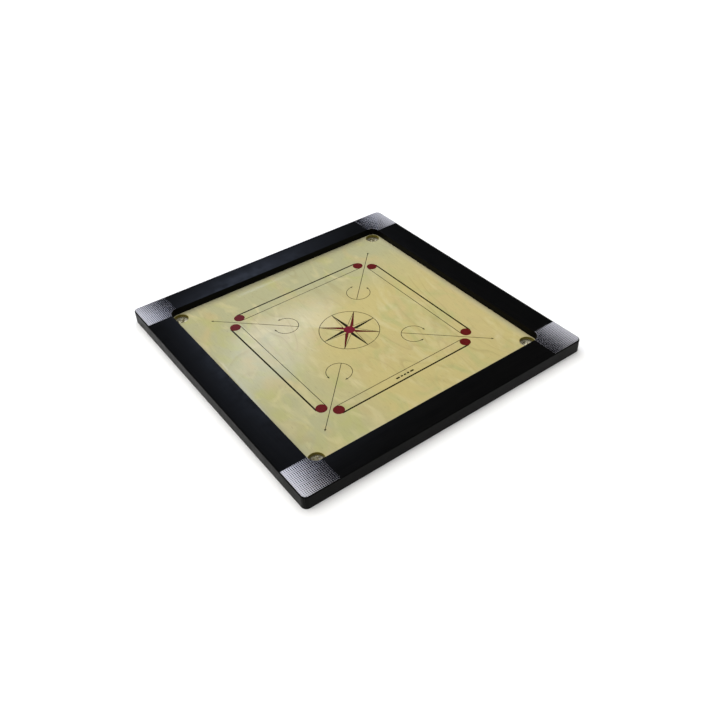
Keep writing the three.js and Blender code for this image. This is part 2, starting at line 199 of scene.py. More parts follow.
def make_piece(name, part, materials, face_materials=None, smooth=True):
    """One mesh object from a part's vertices and faces, merged and with outward normals."""
    verts, faces = part
    mesh = bpy.data.meshes.new(name)
    mesh.from_pydata([tuple(v) for v in verts], [], faces)
    for material in materials:
        mesh.materials.append(material)
    if face_materials:
        mesh.polygons.foreach_set("material_index", face_materials)
    work = bmesh.new()
    work.from_mesh(mesh)
    bmesh.ops.remove_doubles(work, verts=work.verts, dist=MERGE_DISTANCE)
    bmesh.ops.dissolve_degenerate(work, edges=work.edges, dist=MERGE_DISTANCE)
    bmesh.ops.recalc_face_normals(work, faces=work.faces)
    work.to_mesh(mesh)
    work.free()
    if smooth:
        mesh.shade_smooth()
        mesh.set_sharp_from_angle(angle=SMOOTH_ANGLE)
    return add_object(name, mesh)


def settle(piece, node=None, turn=0, holes=(), kind=0):
    """Turns the piece to its side, cuts its holes, hangs it on the root body and hides its CAD node."""
    piece.data.transform(Matrix.Rotation(turn * math.pi / 2, 4, "Z"))
    if holes:
        cut_out(piece, holes, kind)
    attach(piece, "root")
    if node:
        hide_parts(node)


def loft(loops, closed=False):
    """Vertices and faces of a skin over loops of equal length, capped unless it closes on itself."""
    count = len(loops[0])
    verts = [point for loop in loops for point in loop]
    faces = []
    rows = len(loops) if closed else len(loops) - 1
    for row in range(rows):
        low = row * count
        high = (row + 1) % len(loops) * count
        for i in range(count):
            j = (i + 1) % count
            faces.append((low + i, low + j, high + j, high + i))
    if not closed:
        faces.append(tuple(reversed(range(count))))
        faces.append(tuple(range(len(verts) - count, len(verts))))
    return verts, faces


def joined(parts):
    """The vertices and faces of several parts as one part."""
    verts, faces = [], []
    for part_verts, part_faces in parts:
        start = len(verts)
        verts.extend(part_verts)
        faces.extend(tuple(start + i for i in face) for face in part_faces)
    return verts, faces


def circle(x, y, radius, count):
    angles = [2 * math.pi * i / count for i in range(count)]
    return [(x + radius * math.cos(a), y + radius * math.sin(a)) for a in angles]


def arc(x, y, radius, start, end, count):
    """Points on an arc between two angles in degrees, both ends included."""
    angles = [math.radians(start + (end - start) * i / count) for i in range(count + 1)]
    return [(x + radius * math.cos(a), y + radius * math.sin(a)) for a in angles]


def fillet(points, radii, steps=6):
    """The outline with each corner rounded to its radius."""
    outline = []
    for i, (x, y) in enumerate(points):
        radius = radii[i]
        here = Vector((x, y))
        if radius <= 0:
            outline.append((x, y))
            continue
        before = (Vector(points[i - 1]) - here).normalized()
        after = (Vector(points[(i + 1) % len(points)]) - here).normalized()
        half_angle = before.angle(after) / 2
        centre = here + (before + after).normalized() * radius / math.sin(half_angle)
        start = here + before * radius / math.tan(half_angle) - centre
        end = here + after * radius / math.tan(half_angle) - centre
        sweep = start.angle_signed(end)
        for k in range(steps + 1):
            turn = Matrix.Rotation(-sweep * k / steps, 2)
            point = centre + turn @ start
            outline.append((point.x, point.y))
    return outline


def inset(points, distance):
    """The closed counter-clockwise outline moved inwards by a distance."""
    moved = []
    for i, point in enumerate(points):
        here = Vector(point)
        before = (here - Vector(points[i - 1])).normalized()
        after = (Vector(points[(i + 1) % len(points)]) - here).normalized()
        normal = (before + after).normalized().orthogonal()
        reach = distance / max(0.3, normal.dot(before.orthogonal()))
        shifted = here + normal * reach
        moved.append((shifted.x, shifted.y))
    return moved


def raised(points, height):
    return [(x, y, height) for x, y in points]


def rounding(radius, steps):
    """Steps up a quarter-round upper edge, as (distance in from the side, distance under the top)."""
    angles = [math.pi / 2 * k / steps for k in range(steps + 1)]
    return [(radius * (1 - math.cos(a)), radius * (1 - math.sin(a))) for a in angles]


def slab(outline, bottom, top, arris, steps=3):
    """A flat closed part with a counter-clockwise outline and rounded upper and lower edges."""
    edge = rounding(arris, steps)
    loops = [raised(inset(outline, depth), bottom + rise) for rise, depth in edge]
    loops += [raised(inset(outline, depth), top - drop) for depth, drop in edge]
    return loft(loops)


def plate(outer, holes, bottom, top, arris):
    """A flat closed part with holes and rounded upper edges; kinds are 0 top, 1 edge and 2 back."""
    verts, faces, kinds = [], [], []
    lower, upper = [], []
    levels = [(0.0, bottom)] + [(depth, top - drop) for depth, drop in rounding(arris, 3)]
    for points, side in [(outer, 1)] + [(hole, -1) for hole in holes]:
        loops = [raised(inset(points, side * depth), height) for depth, height in levels]
        start = len(verts)
        count = len(points)
        for loop in loops:
            verts.extend(loop)
        for row in range(len(loops) - 1):
            for i in range(count):
                j = (i + 1) % count
                low = start + row * count
                faces.append((low + i, low + j, low + count + j, low + count + i))
                kinds.append(1)
        lower.append(list(range(start, start + count)))
        upper.append(list(range(len(verts) - count, len(verts))))
    for rings, kind in ((upper, 0), (lower, 2)):
        flat = [index for ring in rings for index in ring]
        for triangle in geometry.tessellate_polygon([[verts[i] for i in ring] for ring in rings]):
            faces.append(tuple(flat[i] for i in triangle))
            kinds.append(kind)
    return verts, faces, kinds


def turned(profile, count, x=0.0, y=0.0):
    """A solid of revolution; the profile runs from the axis and back to it, or closes on itself."""
    loops = []
    for k in range(count):
        angle = 2 * math.pi * k / count
        loops.append([(x + r * math.cos(angle), y + r * math.sin(angle), z) for r, z in profile])
    return loft(loops, closed=True)


def tube(points, radius, sides=6, closed=False):
    """A round cord along 3-D points."""
    points = [Vector(p) for p in points]
    section = circle(0, 0, radius, sides)
    loops = []
    count = len(points)
    normal = None
    for i, point in enumerate(points):
        ahead = points[(i + 1) % count] if closed or i + 1 < count else point
        behind = points[i - 1] if closed or i > 0 else point
        tangent = (ahead - behind).normalized()
        if normal is None:
            normal = tangent.orthogonal().normalized()
        normal = (normal - tangent * normal.dot(tangent)).normalized()
        across = tangent.cross(normal)
        loops.append([tuple(point + normal * u + across * v) for u, v in section])
    return loft(loops, closed=closed)


def clip(polygon, normal, limit):
    """The part of a convex polygon where its distance along the normal is under the limit."""
    kept = []
    for i, point in enumerate(polygon):
        following = polygon[(i + 1) % len(polygon)]
        here = limit - Vector(point).dot(normal)
        there = limit - Vector(following).dot(normal)
        if here >= 0:
            kept.append(point)
        if (here >= 0) != (there >= 0):
            share = here / (here - there)
            kept.append(tuple(Vector(point).lerp(Vector(following), share)))
    return kept


# -------- holes


def cut_out(piece, parts, kind=0, crossing=False):
    """Cuts closed parts out of a piece; new faces take the numbered material, and parts may cross."""
    cutting = joined(parts)
    cutter = make_piece("cutter", cutting, list(piece.data.materials), [kind] * len(cutting[1]))
    cut = piece.modifiers.new("cut", "BOOLEAN")
    cut.operation = "DIFFERENCE"
    cut.solver = "EXACT"
    cut.use_self = crossing
    cut.object = cutter
    bpy.context.view_layer.update()
    evaluated = piece.evaluated_get(bpy.context.evaluated_depsgraph_get())
    mesh = bpy.data.meshes.new_from_object(evaluated)
    piece.modifiers.clear()
    piece.data = mesh
    mesh.shade_smooth()
    mesh.set_sharp_from_angle(angle=SMOOTH_ANGLE)
    bpy.data.objects.remove(cutter)


def fastener_hole(node, bore, head=()):
    """A turned hole past both ends of a fastener; the head is (radius, height over its foot)."""
    low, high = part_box(node)
    start, end = -HOLE_RUN_OUT, high.z - low.z + HOLE_RUN_OUT
    mouth = head[0][0] if head else bore
    profile = [(0, start), (mouth, start), *head, (bore, end), (0, end)]
    rising = [(radius, low.z + height) for radius, height in profile]
    return turned(rising, 32, (low.x + high.x) / 2, (low.y + high.y) / 2)


def screw_holes(nodes):
    """Countersunk passages with play around the screws and their threads."""
    head, bore = SCREW_HEAD_RADIUS + FIT_PLAY, SCREW_CREST_RADIUS + FIT_PLAY
    seat = SCREW_HEAD_EDGE + FIT_PLAY
    sink = [(head, seat), (bore, seat + head - bore)]
    return [fastener_hole(node, bore, sink) for node in nodes]


def tack_holes(nodes):
    return [fastener_hole(node, TACK_SHANK_RADIUS + FIT_PLAY) for node in nodes]


def spline_slot(corner):
    """The spline's own shape made a little larger, so that it lies in the rails with play."""
    node = f"mitre_spline_{corner}"
    middle = middle_of(node)
    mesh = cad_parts[node].data
    verts = [tuple(middle + SLOT_GROWTH @ (vertex.co - middle)) for vertex in mesh.vertices]
    return verts, [tuple(face.vertices) for face in mesh.polygons]


# -------- material helpers


class Shader:
    """A Principled material and short calls that add nodes to it."""

    def __init__(self, name, **sockets):
        self.material = bpy.data.materials.new(name)
        self.material.use_nodes = True
        self.tree = self.material.node_tree
        self.principled = self.tree.nodes["Principled BSDF"]
        for socket, value in sockets.items():
            self.principled.inputs[socket.replace("_", " ")].default_value = value
        self.place = self.tree.nodes.new("ShaderNodeTexCoord").outputs["Object"]

    def add(self, kind, inputs=None, **settings):
        node = self.tree.nodes.new("ShaderNode" + kind)
        for key, value in settings.items():
            setattr(node, key, value)
        for socket, value in (inputs or {}).items():
            if isinstance(value, bpy.types.NodeSocket):
                self.tree.links.new(value, node.inputs[socket])
            else:
                node.inputs[socket].default_value = value
        return node

    def scaled(self, scale, turn=0.0):
        """The object's coordinates, turned about Z and then scaled per axis."""
        inputs = {"Vector": self.place, "Rotation": (0, 0, turn), "Scale": scale}
        return self.add("Mapping", inputs).outputs["Vector"]

    def axis(self, name):
        return self.add("SeparateXYZ", {"Vector": self.place}).outputs[name]

    def noise(self, scale, detail=3.0, roughness=0.5, distortion=0.0):
        """Noise whose features are 1/scale metres across along each axis."""
        inputs = {"Vector": self.scaled(scale), "Scale": 1.0, "Detail": detail}
        inputs |= {"Roughness": roughness, "Distortion": distortion}
        return self.add("TexNoise", inputs).outputs["Fac"]

    def ramp(self, factor, *stops):
        """Colours or greys at positions from 0 to 1."""
        node = self.add("ValToRGB", {"Fac": factor})
        elements = node.color_ramp.elements
        while len(elements) < len(stops):
            elements.new(0.5)
        for element, (position, colour) in zip(elements, stops):
            element.position = position
            if isinstance(colour, (int, float)):
                colour = (colour, colour, colour)
            element.color = (*colour, 1)
        return node.outputs["Color"]

    def mix(self, factor, first, second, blend="MIX"):
        inputs = {0: factor}
        for socket, value in ((6, first), (7, second)):
            inputs[socket] = value if isinstance(value, bpy.types.NodeSocket) else (*value, 1)
        return self.add("Mix", inputs, data_type="RGBA", blend_type=blend).outputs[2]

    def math(self, operation, first, second=0.0):
        return self.add("Math", {0: first, 1: second}, operation=operation).outputs[0]

    def span(self, value, start, end, most=1.0):
        """Goes from 0 where the value is start to most where it is end."""
        inputs = {"Value": value, "From Min": start, "From Max": end, "To Min": 0.0, "To Max": most}
        return self.add("MapRange", inputs).outputs["Result"]

    def bump(self, height, strength, distance, normal=None):
        inputs = {"Height": height, "Strength": strength, "Distance": distance}
        if normal:
            inputs["Normal"] = normal
        return self.add("Bump", inputs).outputs["Normal"]

    def finish(self, **links):
        for socket, output in links.items():
            self.tree.links.new(output, self.principled.inputs[socket.replace("_", " ")])
        return self.material


def fibred(shader, colour, fibre_dark, fibre_light, fleck_dark):
    """The colour with birch's fine fibres and short dark flecks, and the fibres for a bump."""
    fibres = shader.noise((950, 34, 950), detail=3, roughness=0.6)
    fibre_tone = shader.ramp(fibres, (0.30, fibre_dark), (0.70, fibre_light))
    toned = shader.mix(1.0, colour, fibre_tone, "MULTIPLY")
    flecks = shader.noise((420, 60, 420), detail=1)
    fleck_tone = shader.ramp(flecks, (0.24, fleck_dark), (0.33, 1.0))
    return shader.mix(1.0, toned, fleck_tone, "MULTIPLY"), fibres


def growth_lines(shader):
    """Thin wandering late-wood lines of rotary-cut veneer, here strong and there absent."""
    line_count = 11.0
    field = shader.noise((5.2, 1.5, 5.2), detail=2, distortion=0.5)
    saw = shader.math("FRACT", shader.math("MULTIPLY", field, line_count))
    line = shader.ramp(saw, (0.0, 0.0), (0.74, 0.12), (0.93, 1.0), (1.0, 0.0))
    presence = shader.ramp(shader.noise((6, 4, 6), detail=2), (0.42, 0.0), (0.62, 1.0))
    return shader.math("MULTIPLY", line, presence)


def edge_nearness(shader, start, end):
    """0 in the field and 1 along the rails, from the larger of the distances along X and Y."""
    along_x = shader.math("ABSOLUTE", shader.axis("X"))
    along_y = shader.math("ABSOLUTE", shader.axis("Y"))
    return shader.span(shader.math("MAXIMUM", along_x, along_y), start, end)


def birch_ground(shader):
    """Broad colour of the sheet: cooler, greyer and darker to the west and north, partly the veneer's own
    tone and partly painted reflection and painted dimming of the light, with blotches of three tints.
    """
    # painted light: part of this drift stands in for a greying reflection to the west and the light falling
    # off to the north
    west = shader.math("MULTIPLY", shader.axis("X"), -1.0)
    north = shader.math("MULTIPLY", shader.axis("Y"), 0.88)
    wander = shader.math("MULTIPLY", shader.noise((5, 4, 5), detail=3), 0.26)
    cool_and_dimmed_drift = shader.math("ADD", shader.math("MAXIMUM", west, north), wander)
    ground = shader.mix(shader.ramp(cool_and_dimmed_drift, (0.20, 0.0), (0.36, 0.95)), BIRCH_WARM, BIRCH_COOL_AND_DIMMED)
    for colour, scale, detail, distortion, start, end, strength in BIRCH_BLOTCHES:
        cloud = shader.noise(scale, detail=detail, distortion=distortion)
        ground = shader.mix(shader.ramp(cloud, (start, 0.0), (end, strength)), ground, colour)
    return ground


def playing_surface_material():
    """Pale birch face under a clear satin lacquer, faintly scuffed by play."""
    shader = Shader("birch_lacquered", IOR=1.45, Specular_IOR_Level=0.11)
    toned, fibres = fibred(shader, birch_ground(shader), 0.93, 1.05, 0.84)
    lines = shader.math("MULTIPLY", growth_lines(shader), 0.30)
    lined = shader.mix(lines, toned, BIRCH_LINE)
    rim = edge_nearness(shader, PLAY_HALF - 25 * MM, PLAY_HALF - 6 * MM)
    colour = shader.mix(shader.math("MULTIPLY", rim, 0.55), lined, BIRCH_RIM)
    scuffs = shader.noise((60, 75, 60), detail=5, roughness=0.7)
    rough = shader.ramp(scuffs, (0.35, 0.13), (0.70, 0.22))
    ripple = shader.noise((24, 17, 24), detail=2)
    waves = shader.bump(ripple, 0.35, 0.8 * MM)
    normal = shader.bump(fibres, 0.08, GRAIN_DEPTH / 2, waves)
    return shader.finish(Base_Color=colour, Roughness=rough, Normal=normal)


def plywood_edge_material():
    """Cut edge of the sheet: alternating veneers with a glue line between them."""
    shader = Shader("plywood_edge", IOR=1.45, Roughness=0.7)
    veneers = 7
    above_back = shader.math("SUBTRACT", shader.axis("Z"), UNDERSIDE)
    level = shader.math("MULTIPLY", above_back, veneers / (SURFACE - UNDERSIDE))
    within = shader.math("FRACT", level)
    crossed = shader.math("FRACT", shader.math("MULTIPLY", shader.math("FLOOR", level), 0.5))
    fibres = shader.noise((700, 700, 900), detail=3)
    along = shader.mix(fibres, (0.31, 0.262, 0.044), (0.22, 0.182, 0.028))
    across = shader.mix(fibres, (0.17, 0.140, 0.020), (0.11, 0.088, 0.012))
    colour = shader.mix(shader.math("GREATER_THAN", crossed, 0.25), along, across)
    glue = shader.ramp(within, (0.0, 0.35), (0.10, 1.0), (0.92, 1.0), (1.0, 0.35))
    colour = shader.mix(1.0, colour, glue, "MULTIPLY")
    return shader.finish(Base_Color=colour, Normal=shader.bump(fibres, 0.5, GRAIN_DEPTH))


def raw_birch_material():
    """Unlacquered back face of the sheet: soft flames along Y and cloudy patches."""
    shader = Shader("birch_raw", IOR=1.4, Roughness=0.75)
    pale, warm, cool = (0.56, 0.43, 0.25), (0.48, 0.34, 0.18), (0.53, 0.42, 0.26)
    flames = shader.noise((16, 2.6, 16), detail=4, distortion=1.6)
    clouds = shader.noise((5.5, 4.2, 5.5), detail=3, roughness=0.6)
    flamed = shader.mix(shader.ramp(flames, (0.30, 0.0), (0.68, 1.0)), pale, warm)
    clouded = shader.mix(shader.ramp(clouds, (0.36, 0.0), (0.64, 0.85)), flamed, cool)
    colour, fibres = fibred(shader, clouded, 0.88, 1.04, 0.80)
    return shader.finish(Base_Color=colour, Normal=shader.bump(fibres, 0.4, GRAIN_DEPTH))


def black_lacquer_material(name, along_x):
    """Black satin lacquer over open-grained hardwood: faint grain, dust and rubbed patches."""
    shader = Shader(name, IOR=1.42, Specular_IOR_Level=0.07)
    scale = (7, 260, 260) if along_x else (260, 7, 260)
    grain = shader.noise(scale, detail=5, roughness=0.65)
    brushed = shader.noise((30, 34, 30), detail=4, roughness=0.6)
    specks = shader.noise((1500, 1500, 1500), detail=1)
    darkest, lightest = (0.0015, 0.0015, 0.0015), (0.0029, 0.0028, 0.0027)
    tone = shader.ramp(grain, (0.35, darkest), (0.68, lightest))
    dust = shader.ramp(specks, (0.70, 0.0), (0.80, 0.04))
    colour = shader.mix(dust, tone, (0.05, 0.05, 0.052))
    rough = shader.ramp(brushed, (0.35, 0.31), (0.68, 0.43))
    pores = shader.bump(grain, 0.16, 0.15 * MM)
    normal = shader.bump(brushed, 0.05, 0.5 * MM, pores)
    return shader.finish(Base_Color=colour, Roughness=rough, Normal=normal)


def foil_material():
    """Silver laminate with a fine pressed cross-hatch."""
    shader = Shader("silver_foil", Metallic=0.35, IOR=1.5)
    hatch_scale = 1 / (0.9 * MM)
    ridges = []
    for turn in (0.0, math.pi / 2):
        place = shader.scaled((hatch_scale, hatch_scale, hatch_scale), turn)
        wave = shader.add("TexWave", {"Vector": place, "Scale": 0.31}, wave_profile="SIN")
        ridges.append(wave.outputs["Fac"])
    hatch = shader.math("ADD", *ridges)
    cloud = shader.noise((45, 45, 45), detail=4, roughness=0.6)
    colour = shader.mix(cloud, (0.52, 0.52, 0.58), (0.62, 0.62, 0.67))
    rough = shader.ramp(cloud, (0.35, 0.36), (0.68, 0.50))
    normal = shader.bump(hatch, 0.25, 0.1 * MM)
    return shader.finish(Base_Color=colour, Roughness=rough, Normal=normal)


def ink_material(name, shades, roughness=0.42):
    """Screen-printed ink, slightly uneven in density."""
    shader = Shader(name, IOR=1.45, Specular_IOR_Level=0.06, Roughness=roughness)
    density = shader.noise((320, 320, 320), detail=4, roughness=0.7)
    colour = shader.mix(shader.ramp(density, (0.35, 0.0), (0.75, 1.0)), *shades)
    return shader.finish(Base_Color=colour, Normal=shader.bump(density, 0.15, 0.05 * MM))


def cotton_material():
    """Unbleached twine with fine plied fibres: painted shade darkens it near the rim and low in the folds,
    and it has dark spots.
    """
    shader = Shader("cotton_twine", IOR=1.4, Roughness=0.92, Sheen_Weight=0.35, Sheen_Roughness=0.5)
    height = shader.axis("Z")
    # painted shade: the twine is darker low in the folds and high up near the rim, under the sheet's edge,
    # where shade falls
    painted_fold_shade = shader.span(height, 3.3 * MM, 2.4 * MM)
    painted_rim_shade = shader.span(height, 5.0 * MM, 6.6 * MM, 0.9)
    spots = shader.ramp(shader.noise((120, 120, 50), detail=1), (0.59, 0.0), (0.64, 0.9))
    shade_and_spots = shader.math("MAXIMUM", shader.math("MAXIMUM", painted_fold_shade, painted_rim_shade), spots)
    clean = shader.mix(shader.noise((90, 90, 90), detail=3), *TWINE_CLEAN)
    fibres = shader.noise((2600, 2600, 2600), detail=3, roughness=0.7)
    fibre_tone = shader.ramp(fibres, (0.25, 0.72), (0.7, 1.05))
    colour = shader.mix(1.0, shader.mix(shade_and_spots, clean, TWINE_SHADE_AND_SPOTS), fibre_tone, "MULTIPLY")
    plies = shader.add("TexWave", {"Vector": shader.scaled((900, 900, 1400), 0.7), "Scale": 0.32})
    twist = shader.bump(plies.outputs["Fac"], 0.5, 0.25 * MM)
    return shader.finish(Base_Color=colour, Normal=shader.bump(fibres, 0.5, GRAIN_DEPTH, twist))


def timber_material(name, along_x, shades):
    """Planed timber with growth rings running along the piece."""
    shader = Shader(name, IOR=1.42, Roughness=0.68)
    ring_count = 9.0
    scale = (1.6, 60, 60) if along_x else (60, 1.6, 60)
    wander = shader.noise(scale, detail=3, distortion=0.8)
    rings = shader.math("FRACT", shader.math("MULTIPLY", wander, ring_count))
    fibres = shader.noise((30, 900, 900) if along_x else (900, 30, 900), detail=3)
    late = shader.ramp(rings, (0.0, 0.1), (0.75, 0.55), (0.93, 1.0), (1.0, 0.1))
    fibre_tone = shader.ramp(fibres, (0.3, 0.84), (0.7, 1.05))
    colour = shader.mix(1.0, shader.mix(late, *shades), fibre_tone, "MULTIPLY")
    return shader.finish(Base_Color=colour, Normal=shader.bump(fibres, 0.35, 0.15 * MM))


def steel_material():
    """Zinc-plated steel with a faintly mottled surface."""
    shader = Shader("zinc_steel", Metallic=1.0)
    marks = shader.noise((900, 900, 900), detail=4, roughness=0.7)
    colour = shader.mix(marks, (0.52, 0.53, 0.55), (0.70, 0.69, 0.66))
    rough = shader.ramp(marks, (0.3, 0.26), (0.7, 0.44))
    return shader.finish(Base_Color=colour, Roughness=rough)


# -------- frame


def rail_profile():
    """Section of a rail as (distance in from the outer face, height), with eased edges."""
    width = OUTER_HALF - PLAY_HALF
    rebate = width - REBATE_DEPTH
    corners = [(0, 0), (0, FRAME_TOP), (width, FRAME_TOP), (width, SURFACE), (rebate, SURFACE), (rebate, 0)]
    radii = [1.0 * MM, 2.8 * MM, 1.0 * MM, 0, 0, 0.8 * MM]
    return fillet(corners, radii)


def rail_station(profile, angle, end):
    """The section at one place on a rounded end; end is -1 at the west and 1 at the east."""
    hub = OUTER_HALF - OUTER_RADIUS
    loop = []
    for depth, height in profile:
        at_mitre = math.isclose(angle, math.pi / 4) or depth >= OUTER_RADIUS
        if depth < OUTER_RADIUS:
            reach = OUTER_RADIUS - depth
            x = hub + reach * math.sin(angle)
            y = hub + reach * math.cos(angle)
        else:
            x = y = OUTER_HALF - depth
        if at_mitre:
            x -= MITRE_GAP
            y += MITRE_GAP
        loop.append((end * x, -y, height))
    return loop


def build_rail(side, turn, material):
    profile = rail_profile()
    steps = 10
    angles = [math.pi / 4 * k / steps for k in range(steps + 1)]
    loops = [rail_station(profile, angle, -1) for angle in reversed(angles)]
    loops += [rail_station(profile, angle, 1) for angle in angles]
    rail = make_piece(f"rail_{side}", loft(loops), [material])
    holes = screw_holes(SCREW_NODES[side]) + [spline_slot(corner) for corner in CORNERS]
    settle(rail, f"frame_rail_{side}", turn, holes)


def build_corner_block(corner, turn, material):
    """Rounds the opening's inner corner above the sheet, with an eased upper edge."""
    wall = BLOCK_HIGH.x
    end = BLOCK_LOW.y
    ease = 1.0 * MM
    first = math.degrees(math.asin((end - POCKET) / CORNER_RADIUS))
    levels = [(0.0, SURFACE)] + [(depth, FRAME_TOP - drop) for depth, drop in rounding(ease, 4)]
    loops = []
    for depth, height in levels:
        curve = arc(POCKET, POCKET, CORNER_RADIUS + depth, 90 - first, first, 32)
        limited = [(min(x, wall), min(y, wall)) for x, y in curve]
        loops.append(raised([(wall, end), (wall, wall), (end, wall)] + limited, height))
    block = make_piece(f"inner_corner_{corner}", loft(loops), [material])
    settle(block, f"corner_block_{corner}", turn)


def finish_spline(corner, material):
    """The spline in a mitre keeps its CAD mesh and takes the material."""
    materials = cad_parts[f"mitre_spline_{corner}"].data.materials
    materials.clear()
    materials.append(material)


# -------- corner patches


def patch_outline():
    """Outline of the north-east patch, counter-clockwise."""
    low, high = PATCH_LOW.x, PATCH_HIGH.x
    hub = high - PATCH_CORNER_RADIUS
    wall = PLAY_HALF + PATCH_INSET
    outline = [(wall, low), (high, low)]
    outline += arc(hub, hub, PATCH_CORNER_RADIUS, 0, 90, 16)
    outline += [(low, high), (low, wall)]
    outline += arc(POCKET, POCKET, CORNER_RADIUS + PATCH_INSET, 90, 0, 24)
    return outline


def check_squares():
    """Printed dark squares that grow along X towards the board's middle, clipped to the patch."""
    low, high = PATCH_LOW.x, PATCH_HIGH.x
    hub = high - PATCH_CORNER_RADIUS
    cells = int((high - low) / CHECK_PITCH)
    start = (high + low) / 2 - (cells - 1) / 2 * CHECK_PITCH
    squares = []
    for column in range(cells):
        x = start + column * CHECK_PITCH
        inward = (high - x) / (high - low)
        coverage = CHECK_LEAST + (CHECK_MOST - CHECK_LEAST) * (1 - (1 - inward) ** CHECK_CURVE)
        half = CHECK_PITCH * math.sqrt(coverage) / 2
        for row in range(cells):
            y = start + row * CHECK_PITCH
            sides = ((-1, -1), (1, -1), (1, 1), (-1, 1))
            square = [(x + half * across, y + half * up) for across, up in sides]
            if x > hub and y > hub:
                outward = Vector((x - hub, y - hub)).normalized()
                limit = outward.dot((hub, hub)) + PATCH_CORNER_RADIUS - CHECK_MARGIN
                square = clip(square, outward, limit)
            if max(x, y) < PLAY_HALF + PATCH_INSET + half:
                away = Vector((max(0.0, x - POCKET), max(0.0, y - POCKET))).normalized()
                limit = away.dot((POCKET, POCKET)) + CORNER_RADIUS + PATCH_INSET + CHECK_MARGIN
                square = clip(square, -away, -limit)
            if len(square) > 2:
                squares.append(square)
    return squares


def build_patch(corner, signs, foil, print_black):
    """A foil plate with a raised check print, mirrored into its corner."""
    base_top = PATCH_HIGH.z - CHECK_RELIEF
    base = slab(patch_outline(), PATCH_LOW.z, base_top, PATCH_ARRIS, steps=2)
    top = PATCH_HIGH.z
    squares = [loft([raised(square, base_top), raised(square, top)]) for square in check_squares()]
    verts, faces = joined([base] + squares)
    kinds = [0] * len(base[1]) + [1] * (len(faces) - len(base[1]))
    mirrored = [(signs[0] * x, signs[1] * y, z) for x, y, z in verts]
    patch = make_piece(f"patch_{corner}", (mirrored, faces), [foil, print_black], kinds)
    settle(patch, f"corner_patch_{corner}")


# -------- playing sheet and its print


def build_sheet(surface, edge, back):
    half = SHEET_HIGH.x
    corners = [(half, -half), (half, half), (-half, half), (-half, -half)]
    outer = fillet(corners, [1 * MM] * 4, steps=3)
    holes = [circle(sx * POCKET, sy * POCKET, POCKET_RADIUS, 72) for sx, sy in CORNERS.values()]
    verts, faces, kinds = plate(outer, holes, UNDERSIDE, SURFACE, 0.5 * MM)
    sheet = make_piece("birch_sheet", (verts, faces), [surface, edge, back], kinds)
    drilled = screw_holes(sum(SCREW_NODES.values(), [])) + tack_holes(sum(TACK_NODES.values(), []))
    settle(sheet, "playing_sheet", holes=drilled, kind=1)


def ink_stroke(points, width, closed=False):
    """A raised ink line of even width along points on the playing surface."""
    low, high = SURFACE, SURFACE + INK_HEIGHT
    loops = []
    count = len(points)
    for i, point in enumerate(points):
        here = Vector(point)
        ahead = Vector(points[(i + 1) % count]) if closed or i + 1 < count else here
        behind = Vector(points[i - 1]) if closed or i > 0 else here
        side = (ahead - behind).normalized().orthogonal() * width / 2
        left, right = here + side, here - side
        loops.append([(*right, low), (*left, low), (*left, high), (*right, high)])
    return loft(loops, closed=closed)


def ink_shape(outline, lift=0.0):
    """A raised filled ink shape; lift puts one colour over another."""
    high = SURFACE + INK_HEIGHT + lift
    return loft([raised(outline, SURFACE), raised(outline, high)])


def print_on_sheet(name, parts, material):
    """Joins ink parts of one colour into one printed piece."""
    piece = make_piece(name, joined(parts), [material], smooth=False)
    place = Matrix.Translation((*PRINT_SHIFT, 0)) @ Matrix.Rotation(PRINT_TURN, 4, "Z")
    piece.data.transform(place)
    settle(piece)


def quarter_turns(outline):
    """Four copies of an outline, a quarter turn apart."""
    turns = [Matrix.Rotation(turn * math.pi / 2, 2) for turn in range(4)]
    return [[tuple(turn @ Vector(point)) for point in outline] for turn in turns]


def base_line_parts():
    """Each side has a thick outer and a thin inner line between its two base circles."""
    parts = []
    for offset, width in ((BASE_LINE, BASE_LINE_WIDTH), (INNER_LINE, INNER_LINE_WIDTH)):
        end = BASE_CIRCLE_ALONG
        for line in quarter_turns([(-end, -offset), (end, -offset)]):
            parts.append(ink_stroke(line, width))
    return parts


def base_circle_places():
    along, across = BASE_CIRCLE_ALONG, BASE_CIRCLE_ACROSS
    return [point for side in quarter_turns([(-along, -across), (along, -across)]) for point in side]


def base_circle_parts():
    lift = INK_HEIGHT
    return [ink_shape(circle(x, y, BASE_CIRCLE_RADIUS, 48), lift) for x, y in base_circle_places()]


def arrow_head(tip, heading):
    """A slim solid arrowhead with a notched back."""
    direction = Vector(heading).normalized()
    side = direction.orthogonal() * ARROW_HEAD_WIDTH / 2
    back = Vector(tip) - direction * ARROW_HEAD_LENGTH
    notch = Vector(tip) - direction * ARROW_HEAD_LENGTH * ARROW_NOTCH
    return [tuple(tip), tuple(back + side), tuple(notch), tuple(back - side)]


def corner_arrow_parts():
    """Diagonal arrows towards the pockets, each ending in a broken circle with two arrowheads."""
    parts = []
    centre, radius = ARROW_ARC_CENTRE, ARROW_ARC_RADIUS
    inner_end = centre - radius / math.sqrt(2)
    shaft_end = ARROW_TIP - SHAFT_CLEARANCE
    ring = arc(centre, centre, radius, 90, 360, 54)
    past_end = centre + ARROW_HEAD_OVERHANG
    heads = [
        arrow_head((ARROW_TIP, ARROW_TIP), (1, 1)),
        arrow_head((past_end, centre + radius), (1, 0)),
        arrow_head((centre + radius, past_end), (0, 1)),
    ]
    for line in quarter_turns([(inner_end, inner_end), (shaft_end, shaft_end)]):
        parts.append(ink_stroke(line, HAIRLINE))
    for line in quarter_turns(ring):
        parts.append(ink_stroke(line, HAIRLINE))
    for head in heads:
        parts += [ink_shape(outline, INK_HEIGHT / 2) for outline in quarter_turns(head)]
    return parts


def polar(radius, degrees):
    angle = math.radians(degrees)
    return (radius * math.cos(angle), radius * math.sin(angle))


